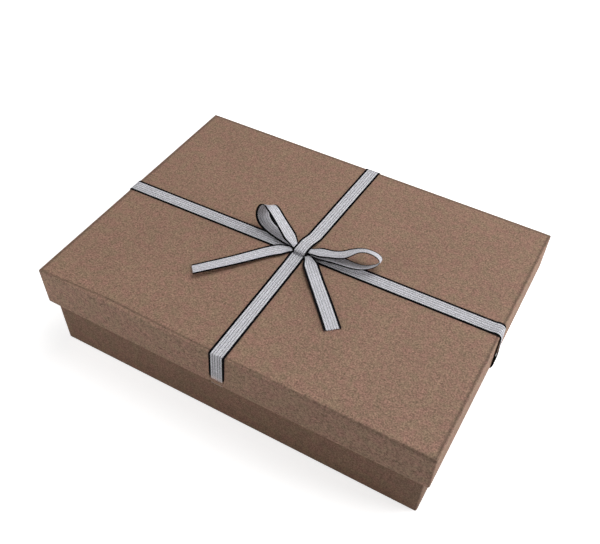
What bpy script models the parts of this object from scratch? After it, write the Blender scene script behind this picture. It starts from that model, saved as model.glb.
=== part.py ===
# Rigid paper gift box: a tray, a lift-off lid, a crossed ribbon and a tied bow.
# Metres, +Z up. The long side lies along X, the front is at -Y, and the box
# stands on z = 0 with its centre on the Z axis.

import math

import bmesh
import bpy
import numpy as np
from mathutils import Vector

MM = 0.001

# The closed box, measured over its cover paper
BOX_LENGTH = 0.240
BOX_WIDTH = 0.176
BOX_HEIGHT = 0.060
LID_DEPTH = 0.0255
CORNER_RADIUS = 0.0008
FOLD_RADIUS = 0.0005

# Sheets
BOARD = 0.0015
PAPER = 0.0002
STAY_PAPER = 0.0001
RIBBON = 0.0003
RIBBON_WIDTH = 0.010

# Clearances
GLUE_GAP = 0.0002
REST_GAP = 0.0003
LID_CLEARANCE = 0.00075
LINER_MARGIN = 0.001

# Turned edges and corner stays
LID_BARE_STRIP = 0.004
TRAY_BARE_STRIP = 0.004
LID_PANEL_INSET = 0.010
BASE_HEM = 0.015
BASE_SHEET_MARGIN = 0.002
STAY_LEG = 0.012
STAY_MARGIN = 0.001
RIBBON_TURN_IN = 0.014
INNER_CORNER = 0.00015

# Where the ribbons cross the lid's edges, and the middle of the bow
LONG_RIBBON_LEFT_Y = -0.0016
LONG_RIBBON_RIGHT_Y = 0.0018
CROSS_RIBBON_BACK_X = 0.0021
CROSS_RIBBON_START_X = -0.0014
CROSS_RIBBON_FRONT_X = -0.0010
CROSS_RIBBON_HEM_X = -0.0025
KNOT_X = -0.0006
KNOT_Y = -0.0003

# The bow's waist, where the strands are drawn together and the band holds them
WAIST_PINCH = 0.53
PINCH_REACH = 0.012
WAIST_SPLIT = 0.0003
TAIL_SLANT = 0.6
LOOP_WAIST_Y = 0.0006
TAIL_WAIST_Y = 0.0004
BAND_SLACK = 0.0012
BAND_RAMP = 0.009
TUCK_LENGTH = 0.006
FRONT_RAMP = 0.006

# Each strand's middle line in millimetres from the knot, with heights above
# the long ribbon, and the way its width points: heading from +X and lean
LEFT_LOOP_LINE = [
    (-11.5, 3.2, 1.6), (-23.0, 5.9, 1.5), (-33.5, 9.0, 5.8), (-31.0, 11.4, 14.2),
    (-20.4, 7.8, 11.1), (-11.0, 4.0, 4.6),
]
LEFT_LOOP_WIDTH_WAY = [(90, 0), (79, 5), (80, 28), (87, 2), (90, 0)]
RIGHT_LOOP_LINE = [
    (12.6, 1.2, 1.8), (25.0, 2.1, 2.4), (37.6, 3.7, 3.0), (45.4, 8.0, 8.6),
    (35.0, 8.2, 11.0), (24.3, 4.9, 5.5), (12.7, 2.4, 3.0),
]
RIGHT_LOOP_WIDTH_WAY = [(90, 0), (67, 10), (101, 28), (101, 30), (149, 18), (90, 0)]
LEFT_TAIL_LINE = [(-14.2, -8.2, 0.7), (-24.2, -20.5, 1.0), (-34.3, -33.0, 1.4), (-44.4, -45.5, 2.2)]
LEFT_TAIL_LEAN = [0, 0, 3, 7, 10, 12]
RIGHT_TAIL_LINE = [(13.5, -11.9, 1.0), (23.5, -22.4, 0.6), (33.5, -33.0, 0.5), (42.7, -43.0, 0.4)]
RIGHT_TAIL_LEAN = [0, 0, -7, -4, 0, 0]

# Where each tail leaves the band, in front of the knot
LEFT_TAIL_BAND_Y = -0.0012
RIGHT_TAIL_BAND_Y = -0.0026

# Facets
CORNER_STEPS = 4
FOLD_STEPS = 3
CURL_STEPS = 10
RAMP_STEPS = 6
LOOP_RINGS = 61
TAIL_RINGS = 29

# How deep each layer of a wall lies below the outer face of its cover
COVER_INNER = PAPER
STAY_OUTER = COVER_INNER + GLUE_GAP
STAY_INNER = STAY_OUTER + STAY_PAPER
BOARD_OUTER = STAY_INNER + GLUE_GAP
BOARD_INNER = BOARD_OUTER + BOARD
TURN_IN_OUTER = BOARD_INNER + GLUE_GAP
WALL = TURN_IN_OUTER + PAPER

# Heights in the lid, from the top down
LID_BOARD_TOP = BOX_HEIGHT - PAPER - GLUE_GAP
LID_BOARD_UNDERSIDE = LID_BOARD_TOP - BOARD
LID_LINER_TOP = LID_BOARD_UNDERSIDE - GLUE_GAP
LID_CEILING = LID_LINER_TOP - PAPER
LID_RIM = BOX_HEIGHT - LID_DEPTH

# Heights in the tray, from the ground up
HEM_UNDERSIDE = PAPER + GLUE_GAP
FLOOR_UNDERSIDE = HEM_UNDERSIDE + PAPER + GLUE_GAP
FLOOR_TOP = FLOOR_UNDERSIDE + BOARD
FLOOR_LINER_UNDERSIDE = FLOOR_TOP + GLUE_GAP
TRAY_RIM = LID_CEILING - REST_GAP

# Half sizes in plan of the lid's and the tray's outer faces
LID_HALF = (BOX_LENGTH / 2, BOX_WIDTH / 2)
TRAY_INSET = WALL + LID_CLEARANCE
TRAY_HALF = (LID_HALF[0] - TRAY_INSET, LID_HALF[1] - TRAY_INSET)

# Heights of the stacked ribbon layers at the knot, at the middle of each
LAYER_STEP = RIBBON + GLUE_GAP
LONG_LAYER = BOX_HEIGHT + GLUE_GAP + RIBBON / 2
FRONT_LAYER = LONG_LAYER + LAYER_STEP
TAIL_LAYER = FRONT_LAYER + LAYER_STEP
TUCK_LAYER = TAIL_LAYER + LAYER_STEP
LOWER_LOOP_LAYER = TUCK_LAYER + LAYER_STEP
UPPER_LOOP_LAYER = LOWER_LOOP_LAYER + LAYER_STEP
BAND_LAYER = UPPER_LOOP_LAYER + LAYER_STEP
PINCHED_HALF = RIBBON_WIDTH / 2 * WAIST_PINCH
BAND_EDGE = RIBBON_WIDTH / 2 + REST_GAP
TAIL_START = PINCHED_HALF * TAIL_SLANT + REST_GAP


# Scene and materials

def clear_scene():
    for obj in list(bpy.data.objects):
        bpy.data.objects.remove(obj, do_unlink=True)


def make_material(name, color, roughness, metallic=0.0):
    material = bpy.data.materials.new(name)
    material.use_nodes = True
    shader = material.node_tree.nodes["Principled BSDF"]
    shader.inputs["Base Color"].default_value = (*color, 1.0)
    shader.inputs["Roughness"].default_value = roughness
    shader.inputs["Metallic"].default_value = metallic
    return material


def add_object(name, bm, material, parent, location=(0.0, 0.0, 0.0)):
    mesh = bpy.data.meshes.new(name)
    bmesh.ops.recalc_face_normals(bm, faces=bm.faces)
    bm.to_mesh(mesh)
    bm.free()
    mesh.materials.append(material)
    obj = bpy.data.objects.new(name, mesh)
    obj.location = location
    obj.parent = parent
    bpy.context.collection.objects.link(obj)
    return obj


def add_empty(name):
    empty = bpy.data.objects.new(name, None)
    bpy.context.collection.objects.link(empty)
    return empty


# Shapes

def box_between(name, low, high, material, parent):
    """A flat board or sheet between two opposite corners."""
    low = Vector(low)
    high = Vector(high)
    bm = bmesh.new()
    bmesh.ops.create_cube(bm, size=1.0)
    bmesh.ops.scale(bm, vec=high - low, verts=bm.verts)
    return add_object(name, bm, material, parent, location=(low + high) / 2)


def rounded_path(corners, radius, steps=FOLD_STEPS):
    """A line through the corners, with an arc at each bend."""
    path = [Vector(corners[0])]
    for before, corner, after in zip(corners, corners[1:], corners[2:]):
        corner = Vector(corner)
        back = (Vector(before) - corner).normalized()
        ahead = (Vector(after) - corner).normalized()
        half = back.angle(ahead) / 2
        reach = radius / math.tan(half)
        centre = corner + (back + ahead).normalized() * (radius / math.sin(half))
        first = (corner + back * reach - centre).normalized()
        last = (corner + ahead * reach - centre).normalized()
        for step in range(steps + 1):
            path.append(centre + first.slerp(last, step / steps) * radius)
    path.append(Vector(corners[-1]))
    return path


def offset_path(path, distance):
    """The same line moved sideways, to the left of its direction."""
    moved = []
    for index, point in enumerate(path):
        before = path[max(index - 1, 0)]
        after = path[min(index + 1, len(path) - 1)]
        along = (after - before).normalized()
        moved.append(point + Vector((-along.y, along.x)) * distance)
    return moved


def rectangle_ring(half, inset, z):
    """Points around a rounded rectangle that lies inset from the half sizes."""
    radius = max(CORNER_RADIUS - inset, INNER_CORNER)
    centre_x = half[0] - inset - radius
    centre_y = half[1] - inset - radius
    ring = []
    for quarter, (side_x, side_y) in enumerate(((1, 1), (-1, 1), (-1, -1), (1, -1))):
        for step in range(CORNER_STEPS + 1):
            angle = (quarter + step / CORNER_STEPS) * math.pi / 2
            ring.append((
                side_x * centre_x + radius * math.cos(angle),
                side_y * centre_y + radius * math.sin(angle),
                z,
            ))
    return ring


def loft(rings, closed):
    """Faces between rings of points, capped at both ends unless they close."""
    bm = bmesh.new()
    loops = [[bm.verts.new(point) for point in ring] for ring in rings]
    pairs = list(zip(loops, loops[1:]))
    if closed:
        pairs.append((loops[-1], loops[0]))
    else:
        bm.faces.new(loops[0])
        bm.faces.new(loops[-1])
    for one, two in pairs:
        for index in range(len(one)):
            after = (index + 1) % len(one)
            bm.faces.new((one[index], one[after], two[after], two[index]))
    return bm


def paper_wrap(name, half, corners, closed, material, parent):
    """Cover paper folded along a line of (inset, height) corners, all round a box."""
    middle = rounded_path(corners, FOLD_RADIUS - PAPER / 2)
    outside = offset_path(middle, PAPER / 2)
    inside = offset_path(middle, -PAPER / 2)
    rings = [rectangle_ring(half, p.x, p.y) for p in outside + inside[::-1]]
    obj = add_object(name, loft(rings, closed), material, parent)
    obj.data.shade_smooth()
    obj.data.set_sharp_from_angle(angle=math.radians(35))
    return obj


def corner_stay(name, half, side, low, high, material, parent):
    """A strip of thin paper bent round one upright corner of the boards."""
    outline = []
    for depth, backwards in ((STAY_OUTER, False), (STAY_INNER, True)):
        radius = max(CORNER_RADIUS - depth, INNER_CORNER)
        edge_x = half[0] - depth
        edge_y = half[1] - depth
        run = [(half[0] - STAY_LEG, edge_y)]
        for step in range(CORNER_STEPS + 1):
            angle = (1 - step / CORNER_STEPS) * math.pi / 2
            run.append((
                edge_x - radius + radius * math.cos(angle),
                edge_y - radius + radius * math.sin(angle),
            ))
        run.append((edge_x, half[1] - STAY_LEG))
        outline += run[::-1] if backwards else run
    rings = [[(side[0] * x, side[1] * y, z) for x, y in outline] for z in (low, high)]
    return add_object(name, loft(rings, closed=False), material, parent)


def smooth_curve(points, count):
    """Evenly spread samples of the natural cubic spline through the points."""
    knots = np.array(points, dtype=float)
    size = len(knots)
    matrix = np.eye(size)
    pull = np.zeros_like(knots)
    for row in range(1, size - 1):
        matrix[row, row - 1:row + 2] = (1, 4, 1)
        pull[row] = 6 * (knots[row - 1] - 2 * knots[row] + knots[row + 1])
    bend = np.linalg.solve(matrix, pull)
    place = np.linspace(0, size - 1, count)
    start = np.minimum(place.astype(int), size - 2)
    b = (place - start)[:, None]
    a = 1 - b
    curved = ((a ** 3 - a) * bend[start] + (b ** 3 - b) * bend[start + 1]) / 6
    return a * knots[start] + b * knots[start + 1] + curved


def ribbon_solid(name, middle, across, half_widths, parent, material):
    """A flat ribbon along a middle line, whose width lies along the across vectors."""
    middle = np.array(middle, dtype=float)
    across = np.array(across, dtype=float)
    along = np.gradient(middle, axis=0)
    along /= np.linalg.norm(along, axis=1)[:, None]
    across -= (across * along).sum(axis=1)[:, None] * along
    across /= np.linalg.norm(across, axis=1)[:, None]
    face = np.cross(along, across) * RIBBON / 2
    side = across * np.array(half_widths)[:, None]
    corners = (middle + side + face, middle - side + face, middle - side - face, middle + side - face)
    rings = np.stack(corners, axis=1)
    obj = add_object(name, loft(rings.tolist(), closed=False), material, parent)
    obj.data.shade_smooth()
    obj.data.set_sharp_from_angle(angle=math.radians(35))
    return obj


# Box parts

def build_boards(prefix, half, floor_low, wall_low, wall_high, material, parent):
    """A flat panel and four walls, set edge to edge with a glue line between."""
    outer_x = half[0] - BOARD_OUTER
    outer_y = half[1] - BOARD_OUTER
    inner_x = outer_x - BOARD
    inner_y = outer_y - BOARD
    panel = "tray_floor_board" if prefix == "tray" else "lid_top_board"
    box_between(
        panel, (-outer_x, -outer_y, floor_low), (outer_x, outer_y, floor_low + BOARD), material, parent,
    )
    for end, side in (("front", -1), ("back", 1)):
        near, far = sorted((side * inner_y, side * outer_y))
        box_between(
            f"{prefix}_{end}_board", (-outer_x, near, wall_low), (outer_x, far, wall_high),
            material, parent,
        )
    reach = inner_y - GLUE_GAP
    for end, side in (("left", -1), ("right", 1)):
        near, far = sorted((side * inner_x, side * outer_x))
        box_between(
            f"{prefix}_{end}_board", (near, -reach, wall_low), (far, reach, wall_high),
            material, parent,
        )


def build_stays(prefix, half, wall_low, wall_high, material, parent):
    for end_y, side_y in (("front", -1), ("back", 1)):
        for end_x, side_x in (("left", -1), ("right", 1)):
            corner_stay(
                f"{prefix}_stay_{end_y}_{end_x}", half, (side_x, side_y),
                wall_low + STAY_MARGIN, wall_high - STAY_MARGIN, material, parent,
            )


def build_tray(materials):
    tray = add_empty("tray_body")
    wall_low = FLOOR_TOP + GLUE_GAP
    wall_high = TRAY_RIM - PAPER - GLUE_GAP
    build_boards("tray", TRAY_HALF, FLOOR_UNDERSIDE, wall_low, wall_high, materials["greyboard"], tray)
    build_stays("tray", TRAY_HALF, wall_low, wall_high, materials["stay_paper"], tray)
    paper_wrap(
        "tray_wrap", TRAY_HALF,
        [
            (BASE_HEM, HEM_UNDERSIDE + PAPER / 2),
            (PAPER / 2, HEM_UNDERSIDE + PAPER / 2),
            (PAPER / 2, TRAY_RIM - PAPER / 2),
            (WALL - PAPER / 2, TRAY_RIM - PAPER / 2),
            (WALL - PAPER / 2, wall_low + TRAY_BARE_STRIP),
        ],
        True, materials["cover_paper"], tray,
    )
    sheet_x = TRAY_HALF[0] - BASE_SHEET_MARGIN
    sheet_y = TRAY_HALF[1] - BASE_SHEET_MARGIN
    box_between(
        "tray_base_sheet", (-sheet_x, -sheet_y, 0), (sheet_x, sheet_y, PAPER),
        materials["cover_paper"], tray,
    )
    liner_x = TRAY_HALF[0] - WALL - LINER_MARGIN
    liner_y = TRAY_HALF[1] - WALL - LINER_MARGIN
    box_between(
        "tray_floor_liner", (-liner_x, -liner_y, FLOOR_LINER_UNDERSIDE),
        (liner_x, liner_y, FLOOR_LINER_UNDERSIDE + PAPER), materials["liner_paper"], tray,
    )


def build_lid(materials):
    lid = add_empty("lid_body")
    wall_low = LID_RIM + PAPER + GLUE_GAP
    wall_high = LID_BOARD_UNDERSIDE - GLUE_GAP
    build_boards("lid", LID_HALF, LID_BOARD_UNDERSIDE, wall_low, wall_high, materials["greyboard"], lid)
    build_stays("lid", LID_HALF, wall_low, wall_high, materials["stay_paper"], lid)
    paper_wrap(
        "lid_wrap", LID_HALF,
        [
            (LID_PANEL_INSET, BOX_HEIGHT - PAPER / 2),
            (PAPER / 2, BOX_HEIGHT - PAPER / 2),
            (PAPER / 2, LID_RIM + PAPER / 2),
            (WALL - PAPER / 2, LID_RIM + PAPER / 2),
            (WALL - PAPER / 2, wall_high - LID_BARE_STRIP),
        ],
        False, materials["cover_paper"], lid,
    )
    liner_x = LID_HALF[0] - WALL - LINER_MARGIN
    liner_y = LID_HALF[1] - WALL - LINER_MARGIN
    box_between(
        "lid_top_liner", (-liner_x, -liner_y, LID_CEILING),
        (liner_x, liner_y, LID_LINER_TOP), materials["liner_paper"], lid,
    )
    return lid


# Ribbons laid over the lid

def rim_corners(half):
    """From inside the lid, round its rim and up to the top edge: (reach, height)."""
    off = GLUE_GAP + RIBBON / 2
    inside = half - WALL - off
    return [
        (inside, LID_RIM + RIBBON_TURN_IN),
        (inside, LID_RIM - off),
        (half + off, LID_RIM - off),
        (half + off, LONG_LAYER),
    ]


def path_length(path):
    return sum(math.dist(a, b) for a, b in zip(path, path[1:]))


def laid_ribbon(name, path, direction, sideways, material, parent):
    """A ribbon over the lid, along a line of (reach, height) points in a direction.

    The sideways pairs, of distance along the line and drift, say where it lies across.
    """
    along = Vector((*direction, 0.0))
    across = Vector((-direction[1], direction[0], 0.0))
    middle = []
    for index, (reach, height) in enumerate(path):
        drift = np.interp(path_length(path[:index + 1]), *zip(*sideways))
        middle.append(along * reach + across * float(drift) + Vector((0.0, 0.0, height)))
    count = len(middle)
    ribbon_solid(name, middle, [across] * count, [RIBBON_WIDTH / 2] * count, parent, material)


def bent(corners):
    """The same line with the ribbon's own arc at each corner, as plain pairs."""
    return [tuple(point) for point in rounded_path(corners, FOLD_RADIUS + GLUE_GAP + RIBBON / 2)]


def build_long_ribbon(material, parent):
    rise = rim_corners(LID_HALF[0])
    corners = [(-reach, height) for reach, height in rise] + rise[::-1]
    wall_run = path_length(rise)
    sideways = [(wall_run, LONG_RIBBON_LEFT_Y), (wall_run + BOX_LENGTH, LONG_RIBBON_RIGHT_Y)]
    laid_ribbon("ribbon_long", bent(corners), (1.0, 0.0), sideways, material, parent)


def ramp(start, end, low, high):
    """Points easing from one height to another between two reaches."""
    points = []
    for step in range(RAMP_STEPS + 1):
        share = step / RAMP_STEPS
        ease = share * share * (3 - 2 * share)
        points.append((start + (end - start) * share, low + (high - low) * ease))
    return points


def build_cross_ribbons(material, parent):
    half = LID_HALF[1]
    rise = rim_corners(half)
    wall_run = path_length(rise)
    forwards = (0.0, -1.0)

    # The back half comes over the waist, turns down in front of it and tucks under
    curl = (BAND_LAYER - TUCK_LAYER) / 2
    waist_y = KNOT_Y + LOOP_WAIST_Y
    curl_reach = PINCHED_HALF + BAND_SLACK - waist_y
    over_reach = -PINCHED_HALF - BAND_SLACK - waist_y
    over = ramp(over_reach - BAND_RAMP, over_reach, LONG_LAYER, BAND_LAYER)
    turn = []
    for step in range(CURL_STEPS + 1):
        angle = math.pi * step / CURL_STEPS
        turn.append((curl_reach + curl * math.sin(angle), TUCK_LAYER + curl + curl * math.cos(angle)))
    tuck_end = curl_reach - TUCK_LENGTH
    back = bent([(-reach, height) for reach, height in rise] + [over[0]])
    back += over[1:] + turn + [(tuck_end, TUCK_LAYER)]
    sideways = [(wall_run, CROSS_RIBBON_BACK_X), (wall_run + half - KNOT_Y, KNOT_X)]
    laid_ribbon("ribbon_cross_back", back, forwards, sideways, material, parent)

    # The front half starts under the waist, on the long ribbon
    long_reach = RIBBON_WIDTH / 2 + max(abs(LONG_RIBBON_LEFT_Y), abs(LONG_RIBBON_RIGHT_Y))
    start = -min(-tuck_end, long_reach)
    off_long = long_reach + REST_GAP
    down = ramp(off_long, off_long + FRONT_RAMP, FRONT_LAYER, LONG_LAYER)
    front = [(start, FRONT_LAYER)] + down[:-1] + bent([down[-1]] + rise[::-1])
    top_run = half - start
    sideways = [
        (0.0, CROSS_RIBBON_START_X), (top_run, CROSS_RIBBON_FRONT_X),
        (top_run + LID_DEPTH, CROSS_RIBBON_HEM_X),
    ]
    laid_ribbon("ribbon_cross_front", front, forwards, sideways, material, parent)


# The bow

def from_knot(point):
    """A point in millimetres from the knot, above the long ribbon, in metres."""
    x, y, z = point
    return (KNOT_X + x * MM, KNOT_Y + y * MM, LONG_LAYER + z * MM)


def waist_run(side, layer, waist_y):
    """The straight part of a strand inside the band, from its middle outwards."""
    reaches = (WAIST_SPLIT / 2, BAND_EDGE / 2, BAND_EDGE)
    return [(KNOT_X + side * reach, KNOT_Y + waist_y, layer) for reach in reaches]


def width_directions(headings, count):
    """Unit vectors across a strand, eased between (heading, lean) pairs in degrees."""
    angles = np.radians(smooth_curve(headings, count))
    heading = angles[:, 0]
    lean = angles[:, 1]
    level = np.cos(lean)
    return np.stack((np.cos(heading) * level, np.sin(heading) * level, -np.sin(lean)), axis=1)


def pinched_widths(middle, both_ends):
    """Half widths that open from the pinched waist to the full ribbon."""
    steps = np.linalg.norm(np.diff(middle, axis=0), axis=1)
    travelled = np.concatenate(([0.0], np.cumsum(steps)))
    from_waist = np.minimum(travelled, travelled[-1] - travelled) if both_ends else travelled
    share = np.clip((from_waist - BAND_EDGE) / PINCH_REACH, 0, 1)
    ease = share * share * (3 - 2 * share)
    return PINCHED_HALF + (RIBBON_WIDTH / 2 - PINCHED_HALF) * ease


def build_loop(name, side, line, headings, material, parent):
    leaving = waist_run(side, LOWER_LOOP_LAYER, LOOP_WAIST_Y)
    returning = waist_run(side, UPPER_LOOP_LAYER, LOOP_WAIST_Y)[::-1]
    free = smooth_curve([leaving[-1]] + [from_knot(point) for point in line] + [returning[0]], LOOP_RINGS)
    middle = np.vstack((leaving[:-1], free, returning[1:]))
    straight = np.tile((0.0, 1.0, 0.0), (len(leaving) - 1, 1))
    across = np.vstack((straight, width_directions(headings, LOOP_RINGS), straight))
    ribbon_solid(name, middle, across, pinched_widths(middle, True), parent, material)


def build_tail(name, side, band_y, line, leans, material, parent):
    """A loose end that runs out flat from the waist, tilted by its leans in degrees."""
    start = (KNOT_X + side * TAIL_START, KNOT_Y + TAIL_WAIST_Y, TAIL_LAYER)
    edge = (KNOT_X + side * BAND_EDGE, KNOT_Y + band_y, TAIL_LAYER)
    middle = smooth_curve([start, edge] + [from_knot(point) for point in line], TAIL_RINGS)
    along = np.gradient(middle, axis=0)
    level = np.stack((-along[:, 1], along[:, 0], np.zeros(TAIL_RINGS)), axis=1)
    level /= np.linalg.norm(level, axis=1)[:, None]
    lean = np.radians(smooth_curve([(angle,) for angle in leans], TAIL_RINGS))
    across = level * np.cos(lean) + np.array((0.0, 0.0, 1.0)) * np.sin(lean)
    ribbon_solid(name, middle, across, pinched_widths(middle, False), parent, material)


def build_bow(material, parent):
    build_loop("bow_left_loop", -1, LEFT_LOOP_LINE, LEFT_LOOP_WIDTH_WAY, material, parent)
    build_loop("bow_right_loop", 1, RIGHT_LOOP_LINE, RIGHT_LOOP_WIDTH_WAY, material, parent)
    build_tail("bow_left_tail", -1, LEFT_TAIL_BAND_Y, LEFT_TAIL_LINE, LEFT_TAIL_LEAN, material, parent)
    build_tail("bow_right_tail", 1, RIGHT_TAIL_BAND_Y, RIGHT_TAIL_LINE, RIGHT_TAIL_LEAN, material, parent)


def main():
    clear_scene()
    materials = {
        "cover_paper": make_material("cover_paper", (0.235, 0.148, 0.098), 0.85),
        "liner_paper": make_material("liner_paper", (0.42, 0.30, 0.20), 0.9),
        "greyboard": make_material("greyboard", (0.30, 0.28, 0.25), 0.95),
        "stay_paper": make_material("stay_paper", (0.52, 0.40, 0.27), 0.9),
        "ribbon": make_material("ribbon", (0.62, 0.62, 0.66), 0.45),
    }
    build_tray(materials)
    lid = build_lid(materials)
    build_long_ribbon(materials["ribbon"], lid)
    build_cross_ribbons(materials["ribbon"], lid)
    build_bow(materials["ribbon"], lid)


main()
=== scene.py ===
# %% [markdown]
# # A covered gift box, tied with a flat ribbon
#
# The box is two shells of grey board, a tray and a deep lid, each covered in brown kraft paper.
# A flat woven ribbon is laid along the lid, another length across it, and a small bow sits where
# they meet. The measured model comes first. It is the fixed frame, and nothing in it is moved.
# What follows dresses it: papers and boards get finishes, the two covers are folded again with
# their seams, and the ribbons are woven from separate yarns.

# %% Start from the measured box
import math

import bmesh
import bpy
import numpy as np
from mathutils import Matrix, Vector


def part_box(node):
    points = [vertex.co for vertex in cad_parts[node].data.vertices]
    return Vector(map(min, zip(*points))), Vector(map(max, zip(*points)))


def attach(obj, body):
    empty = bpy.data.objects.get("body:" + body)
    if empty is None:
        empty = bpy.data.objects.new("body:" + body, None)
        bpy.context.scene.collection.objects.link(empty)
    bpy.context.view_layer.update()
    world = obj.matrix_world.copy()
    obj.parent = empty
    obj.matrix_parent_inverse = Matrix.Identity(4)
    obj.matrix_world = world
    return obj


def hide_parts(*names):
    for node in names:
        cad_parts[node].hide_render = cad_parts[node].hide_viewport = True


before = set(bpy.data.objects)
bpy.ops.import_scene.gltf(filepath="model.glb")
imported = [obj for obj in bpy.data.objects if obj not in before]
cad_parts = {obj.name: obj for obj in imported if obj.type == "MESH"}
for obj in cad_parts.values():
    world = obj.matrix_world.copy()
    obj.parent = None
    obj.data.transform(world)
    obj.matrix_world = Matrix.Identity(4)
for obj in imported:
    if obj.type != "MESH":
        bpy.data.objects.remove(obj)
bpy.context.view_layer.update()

MM = 0.001

# %% [markdown]
# ## Camera
#
# The camera could be placed by eye and nudged until the box fills the picture. It is placed by
# sums instead: nine corners of the box, found in the picture, fix where the lens stood. The lens
# axis lands a little below the middle of the picture, which the two shift values repeat.

# %% Camera from the corners of the box
PICTURE = (600, 544)
FOCAL_LENGTH = 732.2
AXIS_AT = (306.2, 314.3)

lens = bpy.data.cameras.new("camera")
lens.sensor_width = 36.0
lens.lens = FOCAL_LENGTH * lens.sensor_width / PICTURE[0]
lens.shift_x = (PICTURE[0] / 2 - AXIS_AT[0]) / PICTURE[0]
lens.shift_y = (AXIS_AT[1] - PICTURE[1] / 2) / PICTURE[0]
lens.clip_start, lens.clip_end = 0.01, 20.0

ahead = Vector((-0.30566, 0.57995, -0.75513)).normalized()
right = Vector((0.87135, 0.49009, 0.0237)).normalized()
up = right.cross(ahead).normalized()
camera = bpy.data.objects.new("camera", lens)
camera.matrix_world = Matrix((right, up, -ahead)).transposed().to_4x4()
camera.location = Vector((144.1, -267.15, 354.97)) * MM
bpy.context.collection.objects.link(camera)
bpy.context.scene.camera = camera
print("lens in mm:", round(lens.lens, 1), "shift:", round(lens.shift_x, 3), round(lens.shift_y, 3))

# %% [markdown]
# ## Light and floor
#
# The box stands on white paper in soft light. A large high lamp lights the top and drops soft
# shadows just in front of the box, a low one on the right lights that side, and a weak one in
# front on the left opens the front. The world is white for the camera and for reflections and
# adds no light of its own. The floor is a matt white that the camera sees with some light added,
# more of it further away, so it reaches white all round and still keeps the soft shadow beside
# the box.

# %% A few helpers for node trees
def add_node(tree, kind, inputs=None, **settings):
    """A node with its settings and its inputs, each a plain value or another node's output."""
    made = tree.nodes.new(kind)
    for name, value in settings.items():
        setattr(made, name, value)
    for name, value in (inputs or {}).items():
        if isinstance(value, bpy.types.NodeSocket):
            tree.links.new(value, made.inputs[name])
        else:
            made.inputs[name].default_value = value
    return made


def add_math(tree, operation, first, second=0.0):
    return add_node(tree, "ShaderNodeMath", {0: first, 1: second}, operation=operation).outputs[0]


def new_finish(name, **values):
    """A material with a Principled shader, and the plain values set on its own sockets."""
    finish = bpy.data.materials.new(name)
    finish.use_nodes = True
    shader = finish.node_tree.nodes["Principled BSDF"]
    for socket, value in values.items():
        shader.inputs[socket.replace("_", " ")].default_value = value
    return finish, finish.node_tree, shader


def spread(tree, value, low, high, to_low=0.0, to_high=1.0):
    """Stretches the part of a value between low and high over a new range."""
    made = add_node(
        tree, "ShaderNodeMapRange",
        {"Value": value, "From Min": low, "From Max": high, "To Min": to_low, "To Max": to_high},
    )
    return made.outputs["Result"]

# %% Lamps, world and floor
def add_lamp(name, place, size, power):
    """A square white lamp that looks at the box."""
    lamp = bpy.data.lights.new(name, "AREA")
    lamp.shape, lamp.size, lamp.energy = "SQUARE", size, power
    holder = bpy.data.objects.new(name, lamp)
    holder.location = place
    holder.rotation_euler = (-Vector(place)).to_track_quat("-Z", "Y").to_euler()
    bpy.context.collection.objects.link(holder)


add_lamp("high_window", (0.25, 0.31, 1.05), 0.75, 7.3)
add_lamp("right_window", (0.98, 0.31, 0.31), 0.5, 7.4)
add_lamp("front_panel", (-0.53, -0.62, 0.3), 0.5, 3.0)

bpy.context.scene.view_settings.view_transform = "Standard"
world = bpy.data.worlds.new("studio")
world.use_nodes = True
bpy.context.scene.world = world
sky = world.node_tree
sky.nodes.clear()
rays = add_node(sky, "ShaderNodeLightPath").outputs
seen = add_math(sky, "MAXIMUM", rays["Is Camera Ray"], rays["Is Transmission Ray"])
seen = add_math(sky, "MAXIMUM", seen, rays["Is Glossy Ray"])
white = add_node(sky, "ShaderNodeBackground", {"Color": (1.0, 1.0, 1.0, 1.0), "Strength": seen})
add_node(sky, "ShaderNodeOutputWorld", {"Surface": white.outputs[0]})

FLOOR_HALF = 6.0
BELOW_BOX = -0.2 * MM
GLOW_GROWS = (0.35, 0.8)
GLOW_NEAR, GLOW_FAR = 0.70, 1.0

floor_corners = [(-1, -1), (1, -1), (1, 1), (-1, 1)]
floor_corners = [(x * FLOOR_HALF, y * FLOOR_HALF, BELOW_BOX) for x, y in floor_corners]
floor_mesh = bpy.data.meshes.new("floor")
floor_mesh.from_pydata(floor_corners, [], [(0, 1, 2, 3)])
floor = bpy.data.objects.new("floor", floor_mesh)
bpy.context.collection.objects.link(floor)

floor_finish, tree, shader = new_finish(
    "white_paper_floor", Base_Color=(0.8, 0.8, 0.8, 1.0), Roughness=0.9, Specular_IOR_Level=0.0,
)
rays = add_node(tree, "ShaderNodeLightPath").outputs
seen = add_math(tree, "MAXIMUM", rays["Is Camera Ray"], rays["Is Transmission Ray"])
place = add_node(tree, "ShaderNodeTexCoord").outputs["Object"]
distance = add_node(tree, "ShaderNodeVectorMath", {"Vector": place}, operation="LENGTH").outputs["Value"]
level = spread(tree, distance, *GLOW_GROWS, GLOW_NEAR, GLOW_FAR)
glow = add_node(tree, "ShaderNodeEmission", {"Strength": add_math(tree, "MULTIPLY", seen, level)})
both = add_node(tree, "ShaderNodeAddShader", {0: shader.outputs[0], 1: glow.outputs[0]})
tree.links.new(both.outputs[0], tree.nodes["Material Output"].inputs["Surface"])
floor_mesh.materials.append(floor_finish)

# %% [markdown]
# ## Kraft paper
#
# Kraft paper is a mat of short wood fibres. Close by, single fibres show lighter and darker than
# the pulp around them, and from further away the sheet is slightly cloudy, here redder and
# there greener. One noise can't show both, so the finish adds layers: stretched noises at six
# angles for the fibres, two fine ones for the pulp and its flocks, and two wide ones for clouds
# of tone and hue. Two values stored on the mesh darken the line beside a fold, partly as pressed
# paper and partly as painted shade of its groove, and pale the edge round a rim, partly as
# rubbed wear and partly as a painted highlight where the fold catches light.

# %% The kraft paper finish
def noise(tree, place, scale, detail=2.0, roughness=0.5):
    made = add_node(
        tree, "ShaderNodeTexNoise",
        {"Vector": place, "Scale": scale, "Detail": detail, "Roughness": roughness},
    )
    return made.outputs["Fac"]


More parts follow.
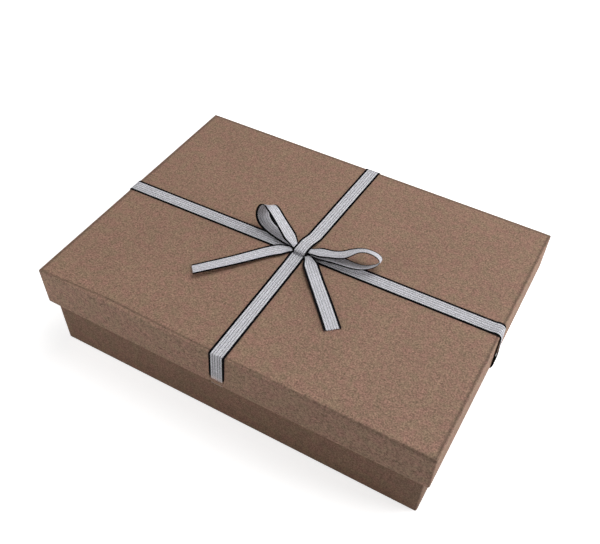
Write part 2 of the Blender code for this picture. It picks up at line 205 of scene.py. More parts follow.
def blend(tree, share, first, second):
    """One colour where the share is 0, the other where it is 1."""
    made = add_node(tree, "ShaderNodeMix", {0: share, 6: first, 7: second}, data_type="RGBA")
    return made.outputs[2]


def tint(tree, colour, strength):
    """A colour times a grey value."""
    grey = add_node(tree, "ShaderNodeCombineColor", {0: strength, 1: strength, 2: strength})
    made = add_node(
        tree, "ShaderNodeMix", {0: 1.0, 6: colour, 7: grey.outputs[0]},
        data_type="RGBA", blend_type="MULTIPLY",
    )
    return made.outputs[2]


FIBRE_STRETCH = 5
FIBRE_TURNS = [(8, 35, 10), (50, -20, 50), (-35, 30, 95), (25, 60, 140), (80, 10, 175), (-60, -40, 25)]
FIBRE_SCALE, FIBRE_SCALE_STEP = 2300, 250
FIBRE_SHADES = (-0.22, 0.24)
PULP_SHADES = (0.50, 1.50)
# Darker in the crease (pressed paper and painted shade), paler at the rim (rubbed wear and painted
# highlight)
CREASE_PRESSED_AND_SHADED, RIM_WEAR_AND_HIGHLIGHT = 0.55, 1.45


def fibres(tree, place, turn, fine):
    """Thin bent streaks, some five times as long as wide, along one direction."""
    turned = add_node(
        tree, "ShaderNodeMapping",
        {"Vector": place, "Rotation": [math.radians(a) for a in turn],
         "Scale": (FIBRE_STRETCH / fine, 1 / fine, 1 / fine)},
        vector_type="TEXTURE",
    )
    streaks = add_node(
        tree, "ShaderNodeTexNoise",
        {"Vector": turned.outputs[0], "Scale": 1.0, "Detail": 1.0, "Roughness": 0.5, "Distortion": 0.6},
    )
    return spread(tree, streaks.outputs["Fac"], 0.58, 0.72)


def kraft_paper(name, colour, fibre_contrast=1.0, **values):
    finish, tree, shader = new_finish(name, **values)
    place = add_node(tree, "ShaderNodeTexCoord").outputs["Object"]
    redder = (colour[0] * 1.05, colour[1] * 0.965, colour[2], 1.0)
    greener = (colour[0] * 0.96, colour[1] * 1.035, colour[2] * 0.96, 1.0)
    tone = blend(tree, spread(tree, noise(tree, place, 150, 4.0, 0.65), 0.38, 0.62), redder, greener)
    level = spread(tree, noise(tree, place, 28, 2.0), 0.35, 0.65, 0.97, 1.03)
    flocks = spread(tree, noise(tree, place, 420, 3.0, 0.6), 0.35, 0.65, 0.87, 1.13)
    pulp = spread(tree, noise(tree, place, 1050, 3.0, 0.7), 0.30, 0.70, *PULP_SHADES)
    level = add_math(tree, "MULTIPLY", add_math(tree, "MULTIPLY", level, flocks), pulp)
    for index, turn in enumerate(FIBRE_TURNS):
        strand = fibres(tree, place, turn, FIBRE_SCALE + FIBRE_SCALE_STEP * index)
        shade = FIBRE_SHADES[index % 2] * fibre_contrast
        level = add_math(tree, "ADD", level, add_math(tree, "MULTIPLY", strand, shade))
    # Darker along the crease beside a fold: partly pressed paper, partly painted shade of the groove
    crease_and_shade = add_node(tree, "ShaderNodeAttribute", attribute_name="crease_and_shade").outputs["Fac"]
    # Paler at the rim, broken into patches: partly rubbed wear, partly a painted highlight where the fold
    # catches light
    wear_and_highlight = add_node(tree, "ShaderNodeAttribute", attribute_name="wear_and_highlight").outputs["Fac"]
    patchy = spread(tree, noise(tree, place, 260, 3.0, 0.7), 0.3, 0.62, 0.35, 1.0)
    wear_and_highlight_patches = add_math(tree, "MULTIPLY", wear_and_highlight, patchy)
    level = add_math(tree, "MULTIPLY", level, spread(tree, crease_and_shade, 0.0, 1.0, 1.0, CREASE_PRESSED_AND_SHADED))
    level = add_math(tree, "MULTIPLY", level, spread(tree, wear_and_highlight_patches, 0.0, 1.0, 1.0, RIM_WEAR_AND_HIGHLIGHT))
    tree.links.new(tint(tree, tone, level), shader.inputs["Base Color"])
    grain = noise(tree, place, 2300, 3.0, 0.65)
    bump = add_node(tree, "ShaderNodeBump", {"Strength": 0.35, "Distance": 0.00012, "Height": grain})
    tree.links.new(bump.outputs[0], shader.inputs["Normal"])
    tree.links.new(spread(tree, pulp, 0.66, 1.34, 0.74, 0.60), shader.inputs["Roughness"])
    return finish


cover_paper = kraft_paper("brown_kraft", (0.305, 0.187, 0.132), Specular_IOR_Level=0.3)
# The tray's cover is the same kraft as the lid's, painted darker: painted shade for the lid's overhang and
# the shadowed floor in front
shaded_tray_paper = kraft_paper("kraft_darkened_for_shade", (0.202, 0.118, 0.079), Specular_IOR_Level=0.3)
liner_paper = kraft_paper("pale_kraft", (0.47, 0.345, 0.235), 0.6, Specular_IOR_Level=0.3)
stay_paper = kraft_paper("gummed_strip", (0.56, 0.42, 0.27), 0.4, Specular_IOR_Level=0.4)
print("papers:", [paper.name for paper in (cover_paper, shaded_tray_paper, liner_paper, stay_paper)])

# %% [markdown]
# ## Grey board
#
# The boards are pressed waste paper. They only show inside, in the narrow strips that the
# turned edges leave bare. A grey with dark and pale flecks and a soft, slightly felted surface
# is enough.

# %% Grey board, and the finishes of the pieces that stay
def grey_board():
    finish, tree, shader = new_finish("grey_board", Roughness=0.95)
    place = add_node(tree, "ShaderNodeTexCoord").outputs["Object"]
    cloudy = spread(tree, noise(tree, place, 90, 4.0, 0.6), 0.3, 0.7, 0.88, 1.12)
    dark = spread(tree, noise(tree, place, 700, 2.0), 0.66, 0.74, 0.0, -0.4)
    pale = spread(tree, noise(tree, place, 520, 2.0), 0.68, 0.76, 0.0, 0.35)
    level = add_math(tree, "ADD", add_math(tree, "ADD", cloudy, dark), pale)
    tree.links.new(tint(tree, (0.31, 0.285, 0.25, 1.0), level), shader.inputs["Base Color"])
    felt = noise(tree, place, 1500, 4.0, 0.7)
    bump = add_node(tree, "ShaderNodeBump", {"Strength": 0.5, "Distance": 0.0002, "Height": felt})
    tree.links.new(bump.outputs[0], shader.inputs["Normal"])
    return finish


board = grey_board()
# The tray's sheets take the kraft that is painted darker as shade
KEPT_FINISHES = {"board": board, "stay": stay_paper, "liner": liner_paper, "sheet": shaded_tray_paper}
for name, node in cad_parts.items():
    for word, finish in KEPT_FINISHES.items():
        if word in name.split("_"):
            for material_slot in node.material_slots:
                material_slot.material = finish
print("grey board on:", sum("board" in n.split("_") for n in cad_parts), "nodes")

# %% [markdown]
# ## The paper covers
#
# A cover is one sheet, folded up round the boards, over the rim and down inside. The long
# sides' ends go round the corners, and the short sides' flaps lie over them, so each short side
# has two upright seams just inside its corners. A box with bevelled edges would have neither
# seam nor turned edge. So each cover is a skin through rings: every ring goes once round the
# box at one depth and height, with its rounded corners, its seam steps and the slight belly of
# the long walls, and the rings together follow the fold line.

# %% One ring round the box
CORNER = 0.9 * MM
SEAM_INSET = 1.3 * MM
SEAM_EDGE = 0.06 * MM
FLAP_PROUD = 0.11 * MM
SIDE_STEPS = 44


def ring_round(half, inset, height, belly, flap):
    """Points round a box, from the front right corner.

    belly swells the walls between the corners, and flap lifts the short sides between their seams.
    """
    reach = (half[0] - inset, half[1] - inset)
    radius = max(CORNER - inset, 0.15 * MM)
    arc = [(math.cos(a), math.sin(a)) for a in np.radians(np.linspace(0, 90, 6))]

    def swollen(along, full, amount):
        return amount * (1 - (along / full) ** 2)

    end = reach[1] - SEAM_INSET
    flat = np.linspace(-end, end, SIDE_STEPS + 1)
    upright = [(-end - SEAM_EDGE, 0.0)] + [(y, flap) for y in flat] + [(end + SEAM_EDGE, 0.0)]
    quarter = [(reach[0] + step + swollen(y, reach[1], belly * 0.35), y) for y, step in upright]
    quarter += [(reach[0] - radius + radius * c, reach[1] - radius + radius * s) for c, s in arc]
    side = reach[0] - radius
    long_wall = np.linspace(side, -side, SIDE_STEPS + 1)[1:-1]
    quarter += [(x, reach[1] + swollen(x, reach[0], belly)) for x in long_wall]
    quarter += [(-reach[0] + radius - radius * s, reach[1] - radius + radius * c) for c, s in arc]
    return [(x, y, height) for x, y in quarter + [(-x, -y) for x, y in quarter]]


# %% [markdown]
# The fold line is a list of corners in the plane of one wall: how deep below the outer face, and
# how high. Each corner becomes a small arc. The skin on the far side of the paper follows the
# same line one paper thickness further in, which closes the body.

# %% The fold line and the skin through its rings
PAPER = 0.2 * MM


def fold_line(corners, radii, steps=4):
    """Points along a line through corners, with an arc at each inner one."""
    line = [Vector(corners[0])]
    for before, corner, after, radius in zip(corners, corners[1:], corners[2:], radii):
        corner = Vector(corner)
        back = (Vector(before) - corner).normalized()
        on = (Vector(after) - corner).normalized()
        half = back.angle(on) / 2
        centre = corner + (back + on).normalized() * (radius / math.sin(half))
        first = (corner + back * (radius / math.tan(half)) - centre).normalized()
        last = (corner + on * (radius / math.tan(half)) - centre).normalized()
        line += [centre + first.slerp(last, k / steps) * radius for k in range(steps + 1)]
    line.append(Vector(corners[-1]))
    return line


def beside(line, distance):
    """The same line, moved to the left of its direction."""
    last = len(line) - 1
    ways = [(line[min(i + 1, last)] - line[max(i - 1, 0)]).normalized() for i in range(len(line))]
    return [p + Vector((-w.y, w.x)) * distance for p, w in zip(line, ways)]


def skin(rings, close_ends):
    """A closed body through rings. With close_ends the first and last ring are filled."""
    body = bmesh.new()
    loops = [[body.verts.new(p) for p in ring] for ring in rings]
    pairs = list(zip(loops, loops[1:]))
    if close_ends:
        body.faces.new(loops[0])
        body.faces.new(loops[-1])
    else:
        pairs.append((loops[-1], loops[0]))
    for one, two in pairs:
        for i in range(len(one)):
            j = (i + 1) % len(one)
            body.faces.new((one[i], one[j], two[j], two[i]))
    bmesh.ops.recalc_face_normals(body, faces=body.faces)
    return body


def finished(name, body, finishes, smooth_under=40.0):
    """An object at the origin from a body, with its finishes and smooth shading."""
    mesh = bpy.data.meshes.new(name)
    body.to_mesh(mesh)
    body.free()
    for finish in finishes:
        mesh.materials.append(finish)
    made = bpy.data.objects.new(name, mesh)
    bpy.context.collection.objects.link(made)
    mesh.shade_smooth()
    mesh.set_sharp_from_angle(angle=math.radians(smooth_under))
    return made


def store(piece, name, values):
    """Keeps one number for each point of a mesh, for its finish to read."""
    kept = piece.data.attributes.new(name, "FLOAT", "POINT")
    kept.data.foreach_set("value", np.asarray(values, dtype=np.float32))


# %% [markdown]
# The lid's own traits: its long walls belly out by half a millimetre at the rim, a shallow
# groove runs beside the top folds where the sheet is pressed against the board's edge, its colour
# darkened there partly as pressed paper and partly as painted shade, and the turned-in edge
# inside was cut by hand, so it wanders a little.

# %% The lid's cover
lid_low, lid_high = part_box("lid_wrap")[:2]
LID_HALF = (lid_high[0], lid_high[1])
LID_TOP, LID_RIM = lid_high[2], lid_low[2]
WALL = 2.6 * MM
FOLD = 0.75 * MM
RIM_FOLD = 0.45 * MM
LID_BELLY = 0.55 * MM
CUT_WANDER = 0.35 * MM
RIM_WEAR_AND_HIGHLIGHT_WIDTH = 0.75
GROOVE_DEPTH = 0.10 * MM
lid_turn_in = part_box("lid_front_board")[1][2] - 4.0 * MM


def cut_by_hand(x, y):
    """How far the cut edge wanders from its line at a place."""
    return CUT_WANDER * math.sin(90 * x + 60 * y) * math.sin(310 * (x - y))


def cover_skin(name, half, line, rim, far, belly, close_ends, finish):
    """A cover through rings along its fold line, pale round the rim: rubbed wear and a painted highlight.

    The long walls swell by belly at the rim and not at all at the height called far.
    """
    outside, inside = beside(line, PAPER / 2), beside(line, -PAPER / 2)
    rings, wear_and_highlight = [], []
    for place, points in ((1, outside), (0, inside[::-1])):
        for p in points:
            hang = np.clip((far - p.y) / (far - rim), 0, 1)
            outer = place and p.x < 0.3 * MM
            ring = ring_round(half, p.x, p.y, belly * hang ** 1.4, FLAP_PROUD if outer else 0.0)
            if abs(p.y - line[-1].y) < 0.01 * MM:
                ring = [(x, y, z + cut_by_hand(x, y)) for x, y, z in ring]
            rings.append(ring)
            # Nearness to the rim, where the finish pales the paper: rubbed wear and a painted highlight
            edge = math.hypot(p.x, p.y - rim) / MM
            wear_and_highlight += [math.exp(-(edge / RIM_WEAR_AND_HIGHLIGHT_WIDTH) ** 2) * place] * len(ring)
    made = finished(name, skin(rings, close_ends), [finish])
    store(made, "wear_and_highlight", wear_and_highlight)
    return made


# The groove beside the front fold: at these places along the lid, how far in it runs, in mm
FRONT_LINE = [
    (-120, 0.5), (-101, 1.5), (-77, 2.9), (-58, 2.5), (-35, 2.0), (-12, 1.6), (35, 0.9), (60, 0.6),
    (120, 0.5),
]


def press_groove(cover):
    """Presses a shallow line beside the top's folds, kept for the finish to darken: pressed paper and
    painted shade.
    """
    points = np.empty(len(cover.data.vertices) * 3)
    cover.data.vertices.foreach_get("co", points)
    points = points.reshape(-1, 3)
    x, y, z = points.T
    to_side, to_front = LID_HALF[0] - np.abs(x), LID_HALF[1] - np.abs(y)
    along_front = np.interp(x / MM, *zip(*FRONT_LINE))
    beside_front = np.where(y < 0, along_front, 1.4) * MM
    beside_side = np.where(x > 0, 1.1, 1.4) * MM
    on_top = z > LID_TOP - 0.9 * MM
    near_front = np.abs(to_front - beside_front) / (0.6 * MM)
    near_side = np.abs(to_side - beside_side) / (0.9 * MM)
    crease_and_shade = np.exp(-np.minimum(near_front, near_side) ** 2) * on_top
    points[:, 2] -= GROOVE_DEPTH * crease_and_shade
    cover.data.vertices.foreach_set("co", points.reshape(-1))
    store(cover, "crease_and_shade", crease_and_shade)


GROOVE_RINGS = (8.0, 5.5, 4.4, 3.8, 3.4, 3.1, 2.8, 2.5, 2.2, 1.9, 1.6, 1.35, 1.1, 0.95)
groove = [(d * MM, LID_TOP - PAPER / 2) for d in GROOVE_RINGS]
corners = [
    groove[-1], (PAPER / 2, LID_TOP - PAPER / 2), (PAPER / 2, LID_RIM + PAPER / 2),
    (WALL - PAPER / 2, LID_RIM + PAPER / 2), (WALL - PAPER / 2, lid_turn_in),
]
folded = fold_line(corners, [FOLD, RIM_FOLD, RIM_FOLD])
middle = (LID_TOP + LID_RIM) / 2
start = max(i for i, p in enumerate(folded) if p.x < PAPER / 2 + 1e-7 and p.y > middle)
heights = [Vector((PAPER / 2, z)) for z in np.linspace(LID_TOP - 3 * MM, LID_RIM + 2 * MM, 6)]
line = [Vector(p) for p in groove[:-1]] + folded[:start + 1] + heights + folded[start + 1:]
lid_cover = cover_skin("lid_cover", LID_HALF, line, LID_RIM, LID_TOP, LID_BELLY, True, cover_paper)
press_groove(lid_cover)
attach(lid_cover, "lid")
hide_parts("lid_wrap")
print("lid cover faces:", len(lid_cover.data.polygons))

# %% The tray's cover
tray_low, tray_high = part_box("tray_wrap")[:2]
TRAY_HALF = (tray_high[0], tray_high[1])
TRAY_RIM, TRAY_FOOT = tray_high[2], tray_low[2]
TRAY_BELLY = 0.15 * MM
FOOT_FOLD = 0.6 * MM
FOOT_TURN_IN = 15 * MM
tray_turn_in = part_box("tray_floor_board")[1][2] + 4.2 * MM
corners = [
    (FOOT_TURN_IN, TRAY_FOOT + PAPER / 2), (PAPER / 2, TRAY_FOOT + PAPER / 2),
    (PAPER / 2, TRAY_RIM - PAPER / 2), (WALL - PAPER / 2, TRAY_RIM - PAPER / 2),
    (WALL - PAPER / 2, tray_turn_in),
]
folded = fold_line(corners, [FOOT_FOLD, RIM_FOLD, RIM_FOLD])
start = max(i for i, p in enumerate(folded) if p.x < PAPER / 2 + 1e-7 and p.y < TRAY_RIM / 2)
heights = [Vector((PAPER / 2, z)) for z in np.linspace(TRAY_FOOT + 3 * MM, TRAY_RIM - 3 * MM, 8)]
line = folded[:start + 1] + heights + folded[start + 1:]
tray_cover = cover_skin("tray_cover", TRAY_HALF, line, TRAY_RIM, 0.0, TRAY_BELLY, False, shaded_tray_paper)
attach(tray_cover, "tray")
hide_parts("tray_wrap")
print("tray cover faces:", len(tray_cover.data.polygons))

# %% [markdown]
# ## The woven ribbon
#
# The ribbon is 10 mm wide. Its middle is silver yarn that floats over a dark ground weave, in
# sixteen columns that stand in five groups, with each float half a step further along than its
# neighbours. Both edges are bound in black yarn, which makes them slightly scalloped. A printed
# pattern on a flat strip would look right only from far away, so the yarns are real bodies. A
# strip gives the shape of each run, and a tree of geometry nodes lays the yarns on it. The bow
# looks paler between its yarns in the picture, so its ground weave is a paler one.

# %% The ribbon's sizes and finishes
RIBBON_WIDTH = 10.0 * MM
TAPE = 0.12 * MM
EDGE_WIDTH = 1.75 * MM
FLOAT_STEP = 1.15 * MM
FLOAT_SIZE = (1.16 * MM, 0.415 * MM, 0.13 * MM)
EDGE_STEP = 1.0 * MM
EDGE_SIZE = (1.25 * MM, EDGE_WIDTH, 0.36 * MM)
COLUMNS = 16
COLUMN_STEP = 0.385 * MM
GROUP_GAP = 0.20 * MM
GROUPS_START = (3, 6, 10, 13)


def yarn(name, colour, shade, roughness, **values):
    """Spun yarn: a shade of its own for each stitch, and fine twist in the relief."""
    finish, tree, shader = new_finish(name, **values)
    stitch = add_node(tree, "ShaderNodeAttribute", attribute_name="shade").outputs["Fac"]
    place = add_node(tree, "ShaderNodeTexCoord").outputs["Object"]
    hairs = noise(tree, place, 5200, 2.0, 0.6)
    level = spread(tree, stitch, 0.0, 1.0, 1 - shade, 1 + shade)
    level = add_math(tree, "MULTIPLY", level, spread(tree, hairs, 0.3, 0.7, 0.9, 1.1))
    tree.links.new(tint(tree, (*colour, 1.0), level), shader.inputs["Base Color"])
    rough = spread(tree, hairs, 0.3, 0.7, roughness - 0.08, roughness + 0.08)
    tree.links.new(rough, shader.inputs["Roughness"])
    bump = add_node(tree, "ShaderNodeBump", {"Strength": 0.4, "Distance": 0.00004, "Height": hairs})
    tree.links.new(bump.outputs[0], shader.inputs["Normal"])
    return finish


BLACK = (0.004, 0.0035, 0.0045)
silver_yarn = yarn("silver_yarn", (0.90, 0.895, 0.945), 0.14, 0.42, Metallic=0.1)
black_yarn = yarn("black_yarn", BLACK, 0.35, 0.8, Specular_IOR_Level=0.05)
ground_weave = yarn("ground_weave", (0.05, 0.05, 0.062), 0.1, 0.8, Specular_IOR_Level=0.2)
pale_weave = yarn("pale_weave", (0.25, 0.25, 0.28), 0.1, 0.8, Specular_IOR_Level=0.2)
black_weave = yarn("black_weave", BLACK, 0.1, 0.9, Specular_IOR_Level=0.05)
silver_width = (COLUMNS - 1) * COLUMN_STEP + len(GROUPS_START) * GROUP_GAP + FLOAT_SIZE[1]
print("silver columns:", COLUMNS, "wide in mm:", round(silver_width / MM, 2))

# %% [markdown]
# The tree works on a strip that carries a map: 0 to 1 across and 0 to 1 along. It makes a
# lattice of points, one for each stitch, and finds the point of the strip that lies under each
# place of the map. There it puts one stitch, laid along the strip and squeezed where the strip
# is squeezed. The same tree lays the silver floats and the black edge, with other numbers. It
# could have been an array along a curve, but the bow's runs twist and narrow, and a map follows
# that by itself.

# %% The tree that lays stitches on a strip
def stitch_tree(name):
    """The node tree, with a named input for each size that a layer of yarn has."""
    tree = bpy.data.node_groups.new(name, "GeometryNodeTree")
    face = tree.interface
    face.new_socket("Geometry", in_out="INPUT", socket_type="NodeSocketGeometry")
    sizes = [
        ("Length", "Float"), ("Columns", "Int"), ("Column Step", "Float"), ("Group Gap", "Float"),
        ("Row Step", "Float"), ("Strip Width", "Float"), ("Stitch", "Vector"), ("Lift", "Float"),
        ("Side", "Float"), ("Seed", "Int"), ("Finish", "Material"),
    ]
    for label, kind in sizes:
        face.new_socket(label, in_out="INPUT", socket_type=f"NodeSocket{kind}")
    face.new_socket("Geometry", in_out="OUTPUT", socket_type="NodeSocketGeometry")
    given = add_node(tree, "NodeGroupInput").outputs

    def calc(operation, first, second=0.0):
        return add_math(tree, operation, first, second)

    def vector_calc(operation, first, second):
        return add_node(tree, "ShaderNodeVectorMath", {0: first, 1: second}, operation=operation).outputs[0]

    def combine(x, y, z):
        return add_node(tree, "ShaderNodeCombineXYZ", {0: x, 1: y, 2: z}).outputs[0]

    def split(vector):
        return add_node(tree, "ShaderNodeSeparateXYZ", {0: vector}).outputs

    def position():
        return add_node(tree, "GeometryNodeInputPosition").outputs[0]

    def held(label, kind="FLOAT_VECTOR"):
        return add_node(tree, "GeometryNodeInputNamedAttribute", {"Name": label}, data_type=kind).outputs[0]

    def keep(geometry, label, value, kind, domain):
        inputs = {"Geometry": geometry, "Name": label, "Value": value}
        made = add_node(tree, "GeometryNodeStoreNamedAttribute", inputs, data_type=kind, domain=domain)
        return made.outputs[0]

    # The lattice, and each point's own column and row
    rows = calc("MAXIMUM", calc("ROUND", calc("DIVIDE", given["Length"], given["Row Step"])), 2.0)
    lattice = add_node(
        tree, "GeometryNodeMeshGrid",
        {"Size X": 1.0, "Size Y": 1.0, "Vertices X": given["Columns"], "Vertices Y": rows},
    ).outputs["Mesh"]
    at = split(position())
    last = calc("SUBTRACT", given["Columns"], 1.0)
    column = calc("ROUND", calc("MULTIPLY", calc("ADD", at[0], 0.5), last))
    row = calc("ROUND", calc("MULTIPLY", calc("ADD", at[1], 0.5), calc("SUBTRACT", rows, 1.0)))

    # Where it lies across, with a wider gap before each group, and along, with every
    # second column half a step on
    across = calc("MULTIPLY", calc("SUBTRACT", column, calc("MULTIPLY", last, 0.5)), given["Column Step"])
    group = -len(GROUPS_START) / 2
    for first in GROUPS_START:
        group = calc("ADD", group, calc("GREATER_THAN", column, first - 0.5))
    across = calc("ADD", across, calc("MULTIPLY", group, given["Group Gap"]))
    across = calc("ADD", calc("DIVIDE", across, given["Strip Width"]), 0.5)
    stagger = calc("MULTIPLY", calc("MODULO", column, 2.0), 0.5)
    along = calc("DIVIDE", calc("ADD", calc("ADD", row, 0.25), stagger), rows)
    kept_spot = keep(lattice, "spot", combine(across, along, 0.0), "FLOAT_VECTOR", "POINT")
    spot = held("spot")

    # What the strip holds there
    strip_map = held("map")

    def from_strip(value, kind="FLOAT_VECTOR"):
        found = add_node(tree, "GeometryNodeSampleUVSurface", data_type=kind)
        tree.links.new(given["Geometry"], found.inputs[0])
        tree.links.new(value, found.inputs[1])
        tree.links.new(strip_map, found.inputs[2])
        tree.links.new(spot, found.inputs[3])
        return found.outputs[0]

    place = from_strip(position())
    ahead_way = from_strip(held("along"))
    out_way = from_strip(held("outward"))
    squeeze = from_strip(held("squeeze", "FLOAT"), "FLOAT")
    out_way = vector_calc("MULTIPLY", out_way, combine(given["Side"], given["Side"], given["Side"]))
    lift = vector_calc("MULTIPLY", out_way, combine(given["Lift"], given["Lift"], given["Lift"]))
    moved = add_node(
        tree, "GeometryNodeSetPosition",
        {"Geometry": kept_spot, "Position": vector_calc("ADD", place, lift)},
    ).outputs[0]
    turn = add_node(
        tree, "FunctionNodeAxesToRotation", {0: out_way, 1: ahead_way}, primary_axis="Z", secondary_axis="X",
    ).outputs[0]

    # One stitch: a slim six-sided spindle, then a copy of it at every point
    spindle = add_node(
        tree, "GeometryNodeMeshUVSphere", {"Segments": 6, "Rings": 4, "Radius": 0.5},
    ).outputs["Mesh"]
    laid = add_node(
        tree, "GeometryNodeTransform", {"Geometry": spindle, "Rotation": (0.0, math.pi / 2, 0.0)},
    ).outputs[0]
    own_place = keep(laid, "own", position(), "FLOAT_VECTOR", "POINT")
    smooth = add_node(tree, "GeometryNodeSetShadeSmooth", {"Geometry": own_place}).outputs[0]

    def at_random(low, high, shift):
        made = add_node(tree, "FunctionNodeRandomValue", data_type="FLOAT")
        made.inputs[2].default_value, made.inputs[3].default_value = low, high
        tree.links.new(calc("ADD", given["Seed"], shift), made.inputs["Seed"])
        return made.outputs[1]

    narrow = combine(1.0, squeeze, at_random(0.92, 1.08, 7))
    copies = add_node(
        tree, "GeometryNodeInstanceOnPoints",
        {"Points": moved, "Instance": smooth, "Rotation": turn,
         "Scale": vector_calc("MULTIPLY", given["Stitch"], narrow)},
    ).outputs[0]
    shaded = keep(copies, "shade", at_random(0.0, 1.0, 31), "FLOAT", "INSTANCE")
    real = add_node(tree, "GeometryNodeRealizeInstances", {0: shaded}).outputs[0]

    # A map for the finished stitches: their place on the strip, plus their own shape
    own = split(held("own"))
    base = split(held("spot"))
    map_along = calc("ADD", base[1], calc("DIVIDE", calc("MULTIPLY", own[0], 0.9), rows))
    column_share = calc("DIVIDE", given["Column Step"], given["Strip Width"])
    map_across = calc("ADD", base[0], calc("MULTIPLY", own[1], column_share))
    upper_side = calc("MULTIPLY", calc("GREATER_THAN", given["Side"], 0.0), 0.5)
    half = calc("ADD", calc("MULTIPLY", map_across, 0.5), upper_side)
    mapped = keep(real, "OFBake", combine(map_along, half, 0.0), "FLOAT2", "CORNER")
    done = add_node(tree, "GeometryNodeSetMaterial", {"Geometry": mapped, "Material": given["Finish"]})
    add_node(tree, "NodeGroupOutput", {0: done.outputs[0]})
    return tree


stitches = stitch_tree("stitches_on_a_strip")
print("tree nodes:", len(stitches.nodes))

# %% [markdown]
# A strip is given by its middle line, the way its width points at each place, and its half
# width there. Where a run is drawn together in the knot, the cloth has to go somewhere, so it
# arches up between its edges. The strip keeps what the tree asks for: the map, the way along,
# the way out and the squeeze. The ground weave is the same strip given its thickness.

# %% From a line to a strip, and from a strip to cloth
ACROSS = np.linspace(-1.0, 1.0, 9)
STRIP_STEP = 0.8 * MM
GROUND_SHARE = 0.965


def unit(vectors):
    return vectors / np.linalg.norm(vectors, axis=-1, keepdims=True)


def natural_curve(points, count):
    """Samples of the natural cubic spline through the points."""
    knots = np.array(points, dtype=float)
    size = len(knots)
    matrix, pull = np.eye(size), np.zeros_like(knots)
    for row in range(1, size - 1):
        matrix[row, row - 1:row + 2] = (1, 4, 1)
        pull[row] = 6 * (knots[row - 1] - 2 * knots[row] + knots[row + 1])
    bend = np.linalg.solve(matrix, pull)
    place = np.linspace(0, size - 1, count)
    start = np.minimum(place.astype(int), size - 2)
    b = (place - start)[:, None]
    a = 1 - b
    bent = ((a ** 3 - a) * bend[start] + (b ** 3 - b) * bend[start + 1]) / 6
    return a * knots[start] + b * knots[start + 1] + bent


def run_along(line):
    """How far each point of a line lies along it."""
    return np.concatenate(([0.0], np.cumsum(np.linalg.norm(np.diff(line, axis=0), axis=1))))


def even_line(step, *tracks):
    """The line, which comes first, and what goes with it, read again at even steps."""
    tracks = [np.asarray(track, dtype=float) for track in tracks]
    run = run_along(tracks[0])
    places = np.linspace(0.0, run[-1], max(int(round(run[-1] / step)), 2) + 1)
    read = [
        np.stack([np.interp(places, run, column) for column in track.reshape(len(run), -1).T], axis=1)
        for track in tracks
    ]
    return run[-1], read


def strip_points(line, width_way, half, arch, slant=0.0):
    """Rows of points over a strip, with the way along each row and the way out at each point."""
    along = unit(np.gradient(line, axis=0))
    across = unit(width_way - (width_way * along).sum(1, keepdims=True) * along)
    outward = unit(np.cross(along, across))
    rows = line[:, None] + across[:, None] * (half * ACROSS[None])[..., None]
    rows = rows + outward[:, None] * (arch * (1 - ACROSS[None] ** 2))[..., None]
    if slant:
        near_end = np.linspace(0.0, 1.0, len(line))[:, None] ** 12
        rows = rows + along[:, None] * (near_end * slant * ACROSS[None])[..., None]
    lean = 2 * arch * ACROSS[None] / np.maximum(half, 1e-6)
    out = unit(outward[:, None] + across[:, None] * lean[..., None])
    return rows, along, out


def guide_strip(name, rows, along, out, half):
    """The bare strip as an object that the stitch tree can read."""
    count, wide = rows.shape[:2]
    faces = [
        (i * wide + j, (i + 1) * wide + j, (i + 1) * wide + j + 1, i * wide + j + 1)
        for i in range(count - 1) for j in range(wide - 1)
    ]
    mesh = bpy.data.meshes.new(name)
    mesh.from_pydata(rows.reshape(-1, 3).tolist(), [], faces)
    down, over = np.meshgrid(np.linspace(0, 1, count), np.linspace(0, 1, wide), indexing="ij")
    place = np.stack((over, down, np.zeros((count, wide))), axis=-1)
    ahead_ways = np.repeat(along[:, None], wide, axis=1)
    for label, values in (("map", place), ("along", ahead_ways), ("outward", out)):
        kept = mesh.attributes.new(label, "FLOAT_VECTOR", "POINT")
        kept.data.foreach_set("vector", values.reshape(-1).astype(np.float32))
    guide = bpy.data.objects.new(name, mesh)
    bpy.context.collection.objects.link(guide)
    store(guide, "squeeze", np.repeat(half / (RIBBON_WIDTH / 2), wide, axis=1).reshape(-1))
    return guide


def lay_stitches(guide, **numbers):
    """Runs the tree on a guide with these numbers and gives back a plain mesh."""
    work = guide.modifiers.new("stitches", "NODES")
    work.node_group = stitches
    sockets = {s.name: s.identifier for s in stitches.interface.items_tree if s.in_out == "INPUT"}
    for label, value in numbers.items():
        work[sockets[label.replace("_", " ")]] = value
    mesh = bpy.data.meshes.new_from_object(guide.evaluated_get(bpy.context.evaluated_depsgraph_get()))
    guide.modifiers.remove(work)
    return mesh


def cloth(name, rows, out, thickness, ground):
    """The ground weave: the strip with its thickness, closed all round and black at its edges."""
    middle = rows.mean(axis=1, keepdims=True)
    rows = middle + (rows - middle) * GROUND_SHARE
    count, wide = rows.shape[:2]
    rings = []
    for i in range(count):
        over, under = rows[i] + out[i] * thickness / 2, rows[i] - out[i] * thickness / 2
        rings.append([tuple(p) for p in over] + [tuple(p) for p in under[::-1]])
    made = finished(name, skin(rings, True), [ground, black_weave], 50.0)
    per_row = 2 * wide
    for face in made.data.polygons:
        places = [min(v % per_row, per_row - 1 - v % per_row) for v in face.vertices]
        face.material_index = int(max(places) <= 1 or min(places) >= wide - 2)
    return made


# %% [markdown]
# A run of ribbon is three layers on one strip: the ground weave, the silver floats, and the
# black edge. The floats lie on the side that shows. The loops and tails of the bow show both
# sides, so theirs have floats on both.

# %% Weaving one run of ribbon
runs = {}


